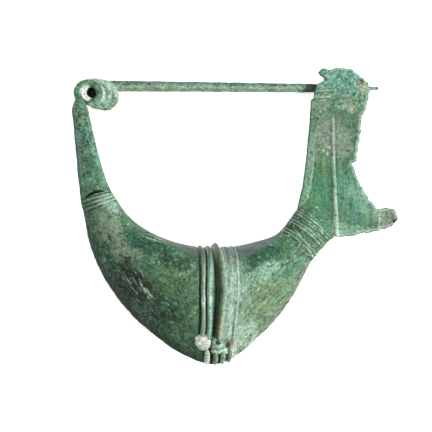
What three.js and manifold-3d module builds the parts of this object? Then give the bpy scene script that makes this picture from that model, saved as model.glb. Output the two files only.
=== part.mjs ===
// A bronze fibula: a swollen crescent bow with a ribbed middle and ringed collars, whose left arm
// runs into a coiled spring and a long pin, and whose right end is hammered out into a catch plate.
// It is one piece of metal, lying on its side. Millimetres, +Z up.
//
// The brooch is shaped in its own plane first: x from the spring to the catch plate, y from the
// crown of the bow up to the pin, z out of that plane. It is then laid down as it rests.
import * as THREE from 'three';
import { mergeVertices } from 'three/addons/utils/BufferGeometryUtils.js';
import Module from 'manifold-3d';

// Bow: its edge nearest the pin, its edge nearest the crown and its half width out of the plane, at
// stations from the spring to the plate. boat is 0 for an oval section and 1 for the boat-shaped one.
const BOW_STATIONS = [
  { inner: [-41.3, -4.4], outer: [-43.9, -4.4], halfWidth: 1.25, boat: 0 },
  { inner: [-39.8, -7.6], outer: [-44.8, -7.7], halfWidth: 2.2, boat: 0 },
  { inner: [-38.1, -14.9], outer: [-44.2, -15.7], halfWidth: 2.7, boat: 0 },
  { inner: [-35.9, -24.4], outer: [-43.2, -26.5], halfWidth: 3.4, boat: 0.1 },
  { inner: [-33.3, -32.2], outer: [-42.2, -35.7], halfWidth: 4.2, boat: 0.2 },
  { inner: [-30.9, -36.5], outer: [-41.0, -42.0], halfWidth: 5.2, boat: 0.3 },
  { inner: [-27.4, -41.4], outer: [-38.8, -52.0], halfWidth: 7.2, boat: 0.5 },
  { inner: [-21.8, -46.0], outer: [-33.3, -63.6], halfWidth: 9.7, boat: 0.7 },
  { inner: [-14.3, -49.5], outer: [-23.9, -75.0], halfWidth: 12.8, boat: 0.9 },
  { inner: [-6.8, -51.3], outer: [-9.2, -85.5], halfWidth: 14.9, boat: 1 },
  { inner: [0, -51.5], outer: [0, -88.0], halfWidth: 15, boat: 1 },
  { inner: [6.5, -51.1], outer: [6.6, -85.2], halfWidth: 14.4, boat: 1 },
  { inner: [12.9, -49.6], outer: [15.1, -78.1], halfWidth: 12.4, boat: 0.9 },
  { inner: [17.8, -48.0], outer: [23.6, -68.4], halfWidth: 9.6, boat: 0.7 },
  { inner: [21.0, -46.0], outer: [31.3, -55.1], halfWidth: 6.4, boat: 0.4 },
  { inner: [26.1, -39.6], outer: [37.3, -48.4], halfWidth: 4.8, boat: 0.2 },
  { inner: [28.0, -37.3], outer: [39.4, -46.9], halfWidth: 1.7, boat: 0 },
  { inner: [29.8, -34.8], outer: [41.6, -45.6], halfWidth: 0.4, boat: 0 },
];
const CROWN_STATION = 10;
const LEFT_COLLAR_STATION = 4;
const RIGHT_COLLAR_STATION = 14;

// The boat-shaped section is widest at this share of its half height above the middle.
const BELLY_AT = 0.2;
const DECK_ROUNDNESS = 2.5;
const KEEL_SHARPNESS = 1.3;
const SECTION_POINTS = 26;

// Raised rings and ribs round the bow: distance along the bow from the crown or from a collar's
// first ring, height and half width of each.
const CROWN_RIBS = [
  { at: -5.4, height: 0.7, halfWidth: 0.9 },
  { at: -3.2, height: 0.75, halfWidth: 1.0 },
  { at: 0.1, height: 1.5, halfWidth: 1.1 },
  { at: 2.8, height: 0.3, halfWidth: 0.9 },
  { at: 5.1, height: 0.4, halfWidth: 0.7 },
];
const LEFT_COLLAR_RINGS = [
  { at: 2.4, height: 0.3, halfWidth: 0.6 },
  { at: 3.6, height: 0.35, halfWidth: 0.6 },
  { at: 4.8, height: 0.35, halfWidth: 0.6 },
];
const RIGHT_COLLAR_RINGS = [
  { at: 0.3, height: 0.35, halfWidth: 0.6 },
  { at: 1.5, height: 0.35, halfWidth: 0.6 },
  { at: 4.4, height: 0.35, halfWidth: 0.6 },
  { at: 5.5, height: 0.35, halfWidth: 0.6 },
  { at: 7.6, height: 0.35, halfWidth: 0.6 },
  { at: 8.5, height: 0.35, halfWidth: 0.6 },
];
// Below this height on the section the crown ribs die away, into the broken ornament on the crown.
const RIBS_FADE_FROM = -0.4;
const RIBS_FADE_TO = -0.8;
const PLAIN_STEP = 3.2;
const RIBBED_STEP = 0.4;

// Spring and pin: one wire. The spring starts on the left, runs over the top and back behind itself.
// Its first turn is tighter than the rest: it widens between two counts of turns.
const SPRING_CENTRE = new THREE.Vector3(-40.2, -2.1, 0);
const FIRST_RADIUS = 3.05;
const SPRING_RADIUS = 3.85;
const WIDENS_FROM = 0.6;
const WIDENS_TO = 1.3;
const SPRING_TURNS = 3.25;
const SPRING_SHIFT = new THREE.Vector3(2.3, 0.15, -2.4);
const SPRING_ENTRY_DEG = 40;
const SPRING_STEP_DEG = 20;
const WIRE_RADIUS = 1.12;
const PIN_ROOT = new THREE.Vector3(-29.5, 1.5, -7.1);
const PIN_ROOT_RADIUS = 1.75;
const PIN_AT_PLATE = new THREE.Vector3(33.5, 0.9, -2.1);
const PIN_PLATE_RADIUS = 1.37;
const PIN_TIP = new THREE.Vector3(54.4, 1.2, -2.1);
const PIN_TIP_RADIUS = 0.45;
const PIN_LENGTHS = 6;
// Share of the way from the plate to the tip where the pin's point begins.
const PIN_POINT_SHARE = 0.75;
const PIN_POINT_RADIUS = 0.7;
const WIRE_SIDES = 10;

// Catch plate: a sheet in the plane of the brooch, with torn edges, a ridge up its middle, and its
// top folded over behind the pin.
const SHEET = 1.1;
const PLATE_LEFT_EDGE = [[25.9, -41.1], [27.2, -36.6], [28.4, -32.0], [29.3, -26.3], [30.3, -18.3],
  [31.2, -10.2], [31.7, -3.9], [31.9, -3.2], [32.7, -3.0], [32.9, -0.9], [33.7, 1.6]];
const PLATE_TORN_TOP = [[36.3, 2.9], [36.9, 3.3], [36.5, 3.9], [35.8, 4.5], [34.7, 4.6], [34.6, 5.6],
  [35.3, 6.6], [36.6, 6.7], [37.9, 6.5], [39.6, 7.0], [42.8, 7.5], [45.0, 7.1], [47.0, 5.7],
  [49.0, 3.8], [50.5, 2.7]];
const PLATE_RIGHT_BREAK = [[50.9, 0.7], [50.7, -2.2], [49.6, -5.6], [48.9, -7.9], [48.0, -8.6],
  [47.9, -11.8], [47.1, -17.1], [46.0, -23.0], [44.6, -24.0], [45.7, -26.9], [46.8, -30.4],
  [48.8, -33.3], [50.0, -35.9], [52.3, -38.5]];
const PLATE_TAIL = [[56.2, -38.3], [57.7, -38.6], [58.7, -39.7], [59.4, -41.6], [58.4, -42.9],
  [57.3, -43.7], [54.9, -45.0], [49.8, -46.1], [43.2, -47.3], [40.9, -47.9], [38.7, -47.6],
  [36.7, -48.7]];
const RIDGE = [
  { at: [38.7, -8.8], halfWidth: 0.4, height: 0.2 },
  { at: [38.7, -23.1], halfWidth: 0.5, height: 0.4 },
  { at: [38.9, -36.1], halfWidth: 0.7, height: 0.55 },
  { at: [39.1, -45.4], halfWidth: 1.1, height: 0.7 },
];
const RIDGE_ROOT = 0.2;
const FOLD_GAP = 3.1;
const FOLD_TOP = 7.6;
const FOLD_BACK_FOOT = -2.2;
const FOLD_LEFT = 32;
const FOLD_RIGHT = 51.5;
const FOLD_ARC_STEPS = 8;

// Broken ornament on the crown: a round boss with a pit, a mound of crust on its left, a wall on its
// right, a saddle below it and four short lobes.
const BOSS = { at: [0, -81.9, 4.9], size: [2.3, 2.2, 1.9] };
const BOSS_PIT = { at: [-0.1, -81.9, 7.0], size: [0.6, 0.6, 1.0] };
const CRUST = { at: [-4.5, -81.2, 4.8], size: [2.5, 3.0, 1.9] };
const WALL = { at: [4.4, -82.3, 3.4], size: [1.4, 4.0, 2.3] };
const SADDLE = { at: [1.0, -84.0, 3.2], size: [3.2, 1.3, 1.9] };
const LOBES = [
  { at: [-3.0, -85.6, 1.9], size: [1.2, 2.5, 2.8] },
  { at: [-0.5, -85.9, 1.9], size: [1.15, 2.4, 2.9] },
  { at: [1.8, -85.6, 1.9], size: [1.2, 2.4, 2.8] },
  { at: [3.8, -85.3, 1.5], size: [0.9, 2.2, 2.6] },
];
const LUMP_SIDES = 14;
const LUMP_RINGS = 9;

// How it lies: turned about y, then about x, and worn flat where it touches the surface, at the
// ribs on the bow's far side, the back of the spring and the back of the fold. The wear is deepest
// on the tall middle rib, so that the ribs beside it touch too.
const REST_TURN_DEG = 2.72;
const REST_LEAN_DEG = 7.11;
const RIB_WEAR = 1.1;

const wasm = await Module();
wasm.setup();

function solidOf(geometry) {
  const bare = geometry.clone();
  bare.deleteAttribute('normal');
  bare.deleteAttribute('uv');
  const merged = mergeVertices(bare, 1e-4);
  return new wasm.Manifold(new wasm.Mesh({
    numProp: 3,
    vertProperties: new Float32Array(merged.attributes.position.array),
    triVerts: new Uint32Array(merged.index.array),
  }));
}

function geometryOf(solid) {
  const mesh = solid.getMesh();
  const geometry = new THREE.BufferGeometry();
  geometry.setAttribute('position', new THREE.BufferAttribute(mesh.vertProperties, 3));
  geometry.setIndex(new THREE.BufferAttribute(mesh.triVerts, 1));
  return geometry;
}

// A closed skin over a row of rings with equal numbers of points, each cap a fan.
function loft(rings) {
  const around = rings[0].length;
  const faces = [];
  for (let ring = 0; ring < rings.length - 1; ring += 1) {
    for (let side = 0; side < around; side += 1) {
      const here = ring * around + side;
      const beside = ring * around + (side + 1) % around;
      faces.push(here, beside, beside + around, here, beside + around, here + around);
    }
  }
  const last = (rings.length - 1) * around;
  for (let side = 1; side < around - 1; side += 1) {
    faces.push(0, side + 1, side);
    faces.push(last, last + side, last + side + 1);
  }
  const geometry = new THREE.BufferGeometry().setFromPoints(rings.flat());
  geometry.setIndex(faces);
  return geometry;
}

function onPlane([x, y], z = 0) {
  return new THREE.Vector3(x, y, z);
}

// ---- Bow ----------------------------------------------------------------------------------

// Half width of the section, from 0 to 1, at a height from 1 at the inner edge to -1 at the outer.
function sectionWidth(height, boat) {
  const oval = Math.sqrt(Math.max(0, 1 - height * height));
  let hull;
  if (height > BELLY_AT) {
    const rise = (height - BELLY_AT) / (1 - BELLY_AT);
    hull = (1 - rise ** DECK_ROUNDNESS) ** (1 / DECK_ROUNDNESS);
  } else {
    const fall = (BELLY_AT - height) / (1 + BELLY_AT);
    hull = 1 - fall ** KEEL_SHARPNESS;
  }
  return oval + (hull - oval) * boat;
}

const innerEdge = new THREE.CatmullRomCurve3(BOW_STATIONS.map((station) => onPlane(station.inner)));
const outerEdge = new THREE.CatmullRomCurve3(BOW_STATIONS.map((station) => onPlane(station.outer)));
const girth = new THREE.CatmullRomCurve3(
  BOW_STATIONS.map((station) => new THREE.Vector3(station.halfWidth, station.boat, 0)),
);

function stationShare(index) {
  return index / (BOW_STATIONS.length - 1);
}

function bowMiddle(share) {
  return innerEdge.getPoint(share).lerp(outerEdge.getPoint(share), 0.5);
}

// Distance along the middle of the bow, from its start, for many even shares of it.
const TRACE_STEPS = 2000;
const trace = [0];
for (let step = 1; step <= TRACE_STEPS; step += 1) {
  const stride = bowMiddle(step / TRACE_STEPS).distanceTo(bowMiddle((step - 1) / TRACE_STEPS));
  trace.push(trace[step - 1] + stride);
}

function distanceAt(share) {
  return trace[Math.round(share * TRACE_STEPS)];
}

function shareAt(distance) {
  const step = trace.findIndex((reached) => reached >= distance);
  return step < 0 ? 1 : step / TRACE_STEPS;
}

function placed(group, station) {
  const start = distanceAt(stationShare(station));
  return group.map((rib) => ({ ...rib, at: start + rib.at }));
}

const crownRibs = placed(CROWN_RIBS, CROWN_STATION);
const collarRings = [
  ...placed(LEFT_COLLAR_RINGS, LEFT_COLLAR_STATION),
  ...placed(RIGHT_COLLAR_RINGS, RIGHT_COLLAR_STATION),
];

function raised(group, distance) {
  let total = 0;
  for (const rib of group) {
    const off = Math.abs(distance - rib.at) / rib.halfWidth;
    total += off < 1 ? rib.height * Math.cos(off * Math.PI / 2) ** 2 : 0;
  }
  return total;
}

function relief(distance, height) {
  const kept = THREE.MathUtils.smoothstep(height, RIBS_FADE_TO, RIBS_FADE_FROM);
  return raised(collarRings, distance) + raised(crownRibs, distance) * kept;
}

function bowSection(distance) {
  const share = shareAt(distance);
  const inner = innerEdge.getPoint(share);
  const outer = outerEdge.getPoint(share);
  const middle = bowMiddle(share);
  const { x: halfWidth, y: boat } = girth.getPoint(share);
  const halfHeight = inner.distanceTo(outer) / 2;
  const towardPin = inner.clone().sub(outer).normalize();
  const ring = [];
  for (let point = 0; point < SECTION_POINTS; point += 1) {
    const angle = point / SECTION_POINTS * 2 * Math.PI;
    const height = Math.cos(angle);
    const side = Math.sign(Math.sin(angle)) * sectionWidth(height, boat);
    const spoke = towardPin.clone().multiplyScalar(height * halfHeight);
    spoke.z = side * halfWidth;
    spoke.setLength(spoke.length() + relief(distance, height));
    ring.push(spoke.add(middle));
  }
  return ring;
}

function bowGeometry() {
  const rings = [];
  const ribs = [...crownRibs, ...collarRings];
  let distance = 0;
  while (distance < trace[TRACE_STEPS]) {
    rings.push(bowSection(distance));
    const ribbed = ribs.some((rib) => Math.abs(distance - rib.at) < rib.halfWidth + PLAIN_STEP / 2);
    distance += ribbed ? RIBBED_STEP : PLAIN_STEP;
  }
  rings.push(bowSection(trace[TRACE_STEPS]));
  return loft(rings);
}

// ---- Spring and pin -----------------------------------------------------------------------

function springPoint(turn) {
  const angle = Math.PI - turn * 2 * Math.PI;
  const widened = THREE.MathUtils.smoothstep(turn, WIDENS_FROM, WIDENS_TO);
  return new THREE.Vector3(Math.cos(angle), Math.sin(angle), 0)
    .multiplyScalar(THREE.MathUtils.lerp(FIRST_RADIUS, SPRING_RADIUS, widened))
    .add(SPRING_CENTRE)
    .addScaledVector(SPRING_SHIFT, turn);
}

function wireGeometry() {
  const stops = [];
  const firstTurn = -SPRING_ENTRY_DEG / 360;
  const steps = Math.round((SPRING_TURNS - firstTurn) * 360 / SPRING_STEP_DEG);
  for (let step = 0; step <= steps; step += 1) {
    const turn = firstTurn + (SPRING_TURNS - firstTurn) * step / steps;
    stops.push({ at: springPoint(turn), radius: WIRE_RADIUS });
  }
  stops.push({ at: PIN_ROOT, radius: PIN_ROOT_RADIUS });
  for (let length = 1; length <= PIN_LENGTHS; length += 1) {
    const share = length / PIN_LENGTHS;
    stops.push({
      at: PIN_ROOT.clone().lerp(PIN_AT_PLATE, share),
      radius: THREE.MathUtils.lerp(PIN_ROOT_RADIUS, PIN_PLATE_RADIUS, share),
    });
  }
  const point = PIN_AT_PLATE.clone().lerp(PIN_TIP, PIN_POINT_SHARE);
  stops.push({ at: point, radius: PIN_POINT_RADIUS });
  stops.push({ at: PIN_TIP, radius: PIN_TIP_RADIUS });

  const across = new THREE.Vector3(0, 0, 1);
  const rings = stops.map((stop, index) => {
    const before = stops[Math.max(0, index - 1)].at;
    const after = stops[Math.min(stops.length - 1, index + 1)].at;
    const along = after.clone().sub(before).normalize();
    const level = new THREE.Vector3().crossVectors(across, along).normalize();
    const upright = new THREE.Vector3().crossVectors(along, level);
    const ring = [];
    for (let side = 0; side < WIRE_SIDES; side += 1) {
      const angle = side / WIRE_SIDES * 2 * Math.PI;
      ring.push(stop.at.clone()
        .addScaledVector(level, stop.radius * Math.cos(angle))
        .addScaledVector(upright, stop.radius * Math.sin(angle)));
    }
    return ring;
  });
  return loft(rings);
}

// ---- Catch plate --------------------------------------------------------------------------

function plateOutline() {
  const corners = [...PLATE_LEFT_EDGE, ...PLATE_TORN_TOP, ...PLATE_RIGHT_BREAK, ...PLATE_TAIL];
  return new THREE.Shape(corners.map(([x, y]) => new THREE.Vector2(x, y)));
}

function sheetGeometry(depth) {
  return new THREE.ExtrudeGeometry(plateOutline(), { depth, bevelEnabled: false });
}

function ridgeGeometry() {
  const rings = RIDGE.map(({ at, halfWidth, height }) => [
    onPlane([at[0] - halfWidth, at[1]], SHEET / 2 - RIDGE_ROOT),
    onPlane([at[0] + halfWidth, at[1]], SHEET / 2 - RIDGE_ROOT),
    onPlane([at[0] + halfWidth, at[1]], SHEET / 2),
    onPlane(at, SHEET / 2 + height),
    onPlane([at[0] - halfWidth, at[1]], SHEET / 2),
  ]);
  return loft(rings);
}

// The folded top, seen along x: down behind the pin, over the top, and down the front sheet.
function foldGeometry() {
  const middle = (SHEET + FOLD_GAP) / 2;
  const innerRadius = FOLD_GAP / 2;
  const outerRadius = innerRadius + SHEET;
  const arcFoot = FOLD_TOP - outerRadius;
  const profile = new THREE.Shape();
  profile.moveTo(middle + innerRadius, FOLD_BACK_FOOT);
  profile.lineTo(middle + outerRadius, FOLD_BACK_FOOT);
  profile.absarc(middle, arcFoot, outerRadius, 0, Math.PI, false);
  profile.lineTo(-SHEET / 2, FOLD_BACK_FOOT);
  profile.lineTo(SHEET / 2, FOLD_BACK_FOOT);
  profile.absarc(middle, arcFoot, innerRadius, Math.PI, 0, true);
  return new THREE.ExtrudeGeometry(profile, {
    depth: FOLD_RIGHT - FOLD_LEFT,
    bevelEnabled: false,
    curveSegments: FOLD_ARC_STEPS,
  }).rotateY(Math.PI / 2).translate(FOLD_LEFT, 0, 0);
}

function plateSolid() {
  const behind = FOLD_GAP + 2 * SHEET;
  const withinOutline = solidOf(sheetGeometry(2 * behind).translate(0, 0, -1.5 * behind));
  const fold = solidOf(foldGeometry()).intersect(withinOutline);
  return solidOf(sheetGeometry(SHEET).translate(0, 0, -SHEET / 2))
    .add(solidOf(ridgeGeometry()))
    .add(fold);
}

// ---- Broken ornament ----------------------------------------------------------------------

function lump({ at, size }) {
  return solidOf(new THREE.SphereGeometry(1, LUMP_SIDES, LUMP_RINGS)
    .scale(...size)
    .translate(...at));
}

// ---- The whole brooch ---------------------------------------------------------------------

function broochGeometry() {
  let solid = solidOf(bowGeometry()).add(solidOf(wireGeometry())).add(plateSolid());
  for (const part of [CRUST, BOSS, WALL, SADDLE, ...LOBES]) {
    solid = solid.add(lump(part));
  }
  return geometryOf(solid.subtract(lump(BOSS_PIT)));
}

// Lays the brooch on its side, wears it flat underneath and puts the origin under its middle.
function layDown(geometry) {
  geometry.rotateY(THREE.MathUtils.degToRad(REST_TURN_DEG));
  geometry.rotateX(THREE.MathUtils.degToRad(-REST_LEAN_DEG));
  geometry.computeBoundingBox();
  const { min, max } = geometry.boundingBox;
  const middle = min.clone().lerp(max, 0.5);
  geometry.translate(-middle.x, -middle.y, -min.z - RIB_WEAR);
  const reach = 2 * (max.x - min.x);
  const under = new THREE.BoxGeometry(reach, reach, reach).translate(0, 0, -reach / 2);
  return geometryOf(solidOf(geometry).subtract(solidOf(under)));
}

const bronze = new THREE.MeshStandardMaterial({ color: 0x5f8f74, roughness: 0.8, metalness: 0.2 });
const brooch = new THREE.Mesh(layDown(broochGeometry()), bronze);
brooch.name = 'brooch';

const fibula = new THREE.Group();
fibula.add(brooch);

export default fibula;
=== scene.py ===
"""The looks of a bronze fibula with a green patina, lying on a pale floor.

The brooch is modelled in its own plane, in millimetres: x from the spring to the catch plate, y from
the crown of the bow up to the pin, z towards the viewer. laid() puts it down as the CAD part lies.
"""
import math
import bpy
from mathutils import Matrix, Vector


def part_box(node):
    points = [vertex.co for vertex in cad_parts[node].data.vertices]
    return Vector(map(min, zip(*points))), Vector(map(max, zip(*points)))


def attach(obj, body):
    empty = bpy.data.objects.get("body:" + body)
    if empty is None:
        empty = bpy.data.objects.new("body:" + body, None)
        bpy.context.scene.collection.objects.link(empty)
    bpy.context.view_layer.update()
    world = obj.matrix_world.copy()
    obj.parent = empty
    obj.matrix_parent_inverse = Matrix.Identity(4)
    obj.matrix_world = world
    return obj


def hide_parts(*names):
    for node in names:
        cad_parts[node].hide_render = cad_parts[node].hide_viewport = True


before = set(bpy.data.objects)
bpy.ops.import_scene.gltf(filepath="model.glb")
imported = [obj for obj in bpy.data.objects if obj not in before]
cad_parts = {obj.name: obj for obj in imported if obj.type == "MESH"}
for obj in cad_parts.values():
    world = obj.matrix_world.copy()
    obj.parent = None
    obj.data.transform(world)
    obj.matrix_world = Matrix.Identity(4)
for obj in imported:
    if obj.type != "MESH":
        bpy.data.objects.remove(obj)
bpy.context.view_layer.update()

from types import SimpleNamespace

import bpy
import numpy as np
from mathutils import Matrix, Vector
from mathutils.geometry import delaunay_2d_cdt

MM = 0.001

# ---- Shape of the bow, as in the CAD part ----
# Edge nearest the pin, edge nearest the crown, half width out of the plane, and boat: 0 for an oval
# section, 1 for the boat-shaped one. From the spring to the plate.
BOW_STATIONS = [
    ((-41.3, -4.4), (-43.9, -4.4), 1.25, 0.0),
    ((-39.8, -7.6), (-44.8, -7.7), 2.2, 0.0),
    ((-38.1, -14.9), (-44.2, -15.7), 2.7, 0.0),
    ((-35.9, -24.4), (-43.2, -26.5), 3.4, 0.1),
    ((-33.3, -32.2), (-42.2, -35.7), 4.2, 0.2),
    ((-30.9, -36.5), (-41.0, -42.0), 5.2, 0.3),
    ((-27.4, -41.4), (-38.8, -52.0), 7.2, 0.5),
    ((-21.8, -46.0), (-33.3, -63.6), 9.7, 0.7),
    ((-14.3, -49.5), (-23.9, -75.0), 12.8, 0.9),
    ((-6.8, -51.3), (-9.2, -85.5), 14.9, 1.0),
    ((0.0, -51.5), (0.0, -88.0), 15.0, 1.0),
    ((6.5, -51.1), (6.6, -85.2), 14.4, 1.0),
    ((12.9, -49.6), (15.1, -78.1), 12.4, 0.9),
    ((17.8, -48.0), (23.6, -68.4), 9.6, 0.7),
    ((21.0, -46.0), (31.3, -55.1), 6.4, 0.4),
    ((26.1, -39.6), (37.3, -48.4), 4.8, 0.2),
    ((28.0, -37.3), (39.4, -46.9), 1.7, 0.0),
    ((29.8, -34.8), (41.6, -45.6), 0.4, 0.0),
]
CROWN_STATION = 10
LEFT_COLLAR_STATION = 4
RIGHT_COLLAR_STATION = 14
BELLY_AT = 0.2
DECK_ROUNDNESS = 2.5
KEEL_SHARPNESS = 1.3
# Where the flat grey deck begins: distances from the crown, and heights on the section there.
DECK_EDGE = ((-34, -8, 8, 32), (0.94, 0.6, 0.68, 0.9))

# Ribs round the crown. Each wanders a little on its way over the belly, so its place along the bow
# is given at four heights of the section, from the keel to the edge nearest the pin.
RIB_HEIGHTS = (-1.0, -0.39, 0.16, 1.0)
CROWN_RIBS = [
    {"at": (-4.4, -4.6, -5.9, -6.2), "height": 0.7, "half_width": 0.85},
    {"at": (-2.7, -2.8, -3.9, -3.1), "height": 0.85, "half_width": 1.15},
    {"at": (0.2, 0.0, 0.3, -0.4), "height": 1.5, "half_width": 0.95},
    {"at": (2.8, 2.8, 3.0, 2.7), "height": 0.25, "half_width": 1.1},
    {"at": (4.5, 5.0, 5.2, 4.9), "height": 0.35, "half_width": 0.6},
]
FIN = CROWN_RIBS[2]
# How much the middle rib stands higher, and the others lower, along the edge nearest the pin.
FIN_GAIN = -0.05
RIB_LOSS = -0.45
CROWN_GROOVES = [
    {"at": (-5.6, -5.7, -6.95, -7.2), "height": -0.5, "half_width": 0.75},
    {"at": (-3.6, -3.7, -4.95, -4.7), "height": -0.6, "half_width": 0.5},
    {"at": (-1.3, -1.5, -1.8, -2.0), "height": -0.4, "half_width": 0.9},
    {"at": (4.3, 4.2, 4.0, 3.9), "height": -0.2, "half_width": 0.55},
    {"at": (5.4, 5.9, 6.1, 5.8), "height": -0.12, "half_width": 0.6},
]
LEFT_RINGS = [
    (1.3, 0.1, 0.55), (2.4, 0.28, 0.6), (3.6, 0.36, 0.6), (4.8, 0.36, 0.6), (6.0, 0.12, 0.6),
]
LEFT_SKEW = 0.7
RIGHT_RINGS = [
    (-0.7, -0.2, 0.5), (0.3, 0.38, 0.5), (1.4, 0.38, 0.5), (4.3, 0.4, 0.5), (5.3, 0.4, 0.5),
    (7.5, 0.4, 0.5), (8.5, 0.42, 0.5), (9.6, 0.15, 0.5),
]
RIBS_FADE = (-0.8, -0.5)
# A deep cut across the front of the left collar: its ends and how far its middle bows towards the arm.
GOUGE_ENDS = ((-40.9, -36.4), (-34.8, -34.3))
GOUGE_BOW = 0.7
GOUGE_HALF_WIDTH = 0.75
GOUGE_DEPTH = 1.0

COLUMNS_SEEN = 170
COLUMNS_UNDER = 90
FINE_STEP = 0.15
PLAIN_STEP = 0.28
PIECES_OF_BOW = ("bow_arm", "bow_belly_left", "bow_crown", "bow_belly_right")

# ---- Spring and pin, as in the CAD part ----
SPRING_CENTRE = np.array([-40.2, -2.1, 0.0])
FIRST_RADIUS = 3.05
SPRING_RADIUS = 3.85
WIDENS_FROM = 0.6
WIDENS_TO = 1.3
SPRING_TURNS = 3.25
SPRING_SHIFT = np.array([2.3, 0.15, -2.4])
SPRING_ENTRY = 40 / 360
WIRE_RADIUS = 1.12
PIN_ROOT = np.array([-29.5, 1.5, -7.1])
PIN_ROOT_RADIUS = 1.75
PIN_AT_PLATE = np.array([33.5, 0.9, -2.1])
PIN_PLATE_RADIUS = 1.37
PIN_TIP = np.array([54.4, 1.2, -2.1])
PIN_TIP_RADIUS = 0.45
PIN_POINT_SHARE = 0.75
PIN_POINT_RADIUS = 0.7
# Where it goes behind the plate and comes out again.
PIN_HIDDEN = (29.9, 50.8)
WIRE_SIDES = 56
WIRE_STEP = 0.22

# ---- Catch plate, as in the CAD part ----
SHEET = 1.1
PLATE_LEFT_EDGE = [
    (25.9, -41.1), (27.2, -36.6), (28.4, -32.0), (29.3, -26.3), (30.3, -18.3), (31.2, -10.2),
    (31.7, -3.9), (31.9, -3.2), (32.7, -3.0), (32.9, -0.9), (33.7, 1.6),
]
PLATE_TORN_TOP = [
    (36.3, 2.9), (36.9, 3.3), (36.5, 3.9), (35.8, 4.5), (34.7, 4.6), (34.6, 5.6), (35.3, 6.6),
    (36.6, 6.7), (37.9, 6.5), (39.6, 7.0), (42.8, 7.5), (45.0, 7.1), (47.0, 5.7), (49.0, 3.8),
    (50.5, 2.7),
]
PLATE_RIGHT_BREAK = [
    (50.9, 0.7), (50.7, -2.2), (49.6, -5.6), (48.9, -7.9), (48.0, -8.6), (47.9, -11.8),
    (47.1, -17.1), (46.0, -23.0), (44.6, -24.0), (45.7, -26.9), (46.8, -30.4), (48.8, -33.3),
    (50.0, -35.9), (52.3, -38.5),
]
PLATE_TAIL = [
    (56.2, -38.3), (57.7, -38.6), (58.7, -39.7), (59.4, -41.6), (58.4, -42.9), (57.3, -43.7),
    (54.9, -45.0), (49.8, -46.1), (43.2, -47.3), (40.9, -47.9), (38.7, -47.6), (36.7, -48.7),
]
# The ridge up the plate, from the tail: x, y, half width and height.
RIDGE = np.array([
    (39.1, -45.4, 0.95, 0.7),
    (38.9, -36.1, 0.55, 0.55),
    (38.7, -23.1, 0.4, 0.4),
    (38.7, -8.8, 0.3, 0.2),
])
FOLD_GAP = 3.1
FOLD_OUTER = SHEET + FOLD_GAP / 2
FOLD_BACK_FOOT = -2.2
PLATE_SPACING = 0.27
OUTLINE_STEP = 0.24
# How ragged the left edge is, next to the torn and broken ones.
LEFT_EDGE_RAG = 0.2
# How far below the torn top the sheet starts to curl back.
CURL = 2.2

# ---- How it lies ----
REST_TURN = math.radians(2.72)
REST_LEAN = math.radians(7.11)


# ---- Numbers ----

def smooth(low, high, value):
    share = np.clip((value - low) / (high - low), 0, 1)
    return share * share * (3 - 2 * share)


def bump_profile(off):
    """A hump from 1 in the middle to 0 at a distance of 1."""
    return np.where(np.abs(off) < 1, np.cos(np.clip(off, -1, 1) * math.pi / 2) ** 2, 0)


def scatter(cell, seed):
    """A repeatable number from 0 to 1 for each whole-numbered cell."""
    x, y, z = (cell[..., axis].astype(np.int64).astype(np.uint64) for axis in range(3))
    mixed = x * np.uint64(73856093) ^ y * np.uint64(19349663) ^ z * np.uint64(83492791)
    mixed ^= np.uint64(seed * 2654435761 + 97)
    for factor in (0xFF51AFD7ED558CCD, 0xC4CEB9FE1A85EC53):
        mixed ^= mixed >> np.uint64(33)
        mixed *= np.uint64(factor)
    mixed ^= mixed >> np.uint64(33)
    return (mixed >> np.uint64(11)).astype(float) / 2**53


CORNERS = np.array([(n & 1, n >> 1 & 1, n >> 2 & 1) for n in range(8)])
TWIST = np.array([[0.36, 0.48, -0.8], [-0.8, 0.6, 0.0], [0.48, 0.64, 0.6]])


def noise(points, size, seed=0):
    """Smooth noise from -1 to 1 with features of about this size."""
    spot = points / size
    cell = np.floor(spot)
    part = spot - cell
    ease = part**3 * (part * (part * 6 - 15) + 10)
    total = np.zeros(len(points))
    for corner in CORNERS:
        weight = np.prod(np.where(corner == 1, ease, 1 - ease), axis=1)
        total += weight * scatter(cell + corner, seed)
    return total * 2 - 1


def clouds(points, size, octaves=4, seed=0, keep=0.55):
    """Noise of several sizes, from about -1 to 1."""
    total = np.zeros(len(points))
    weight = 1.0
    full = 0.0
    spot = points
    for octave in range(octaves):
        total += weight * noise(spot, size, seed + octave * 17)
        full += weight * weight
        weight *= keep
        size /= 2.03
        spot = spot @ TWIST
    return total / math.sqrt(full)


def pits(points, spacing, seed=0, least=0.2, most=0.5):
    """1 at the middle of scattered round spots, 0 outside them."""
    spot = points / spacing
    low = np.floor(spot - 0.5)
    depth = np.zeros(len(points))
    for corner in CORNERS:
        cell = low + corner
        centre = np.stack([scatter(cell, seed + axis) for axis in range(3)], axis=1)
        radius = least + (most - least) * scatter(cell, seed + 3)
        off = np.linalg.norm(spot - cell - centre, axis=1) / radius
        depth = np.maximum(depth, np.clip(1 - off * off, 0, 1))
    return depth


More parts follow.
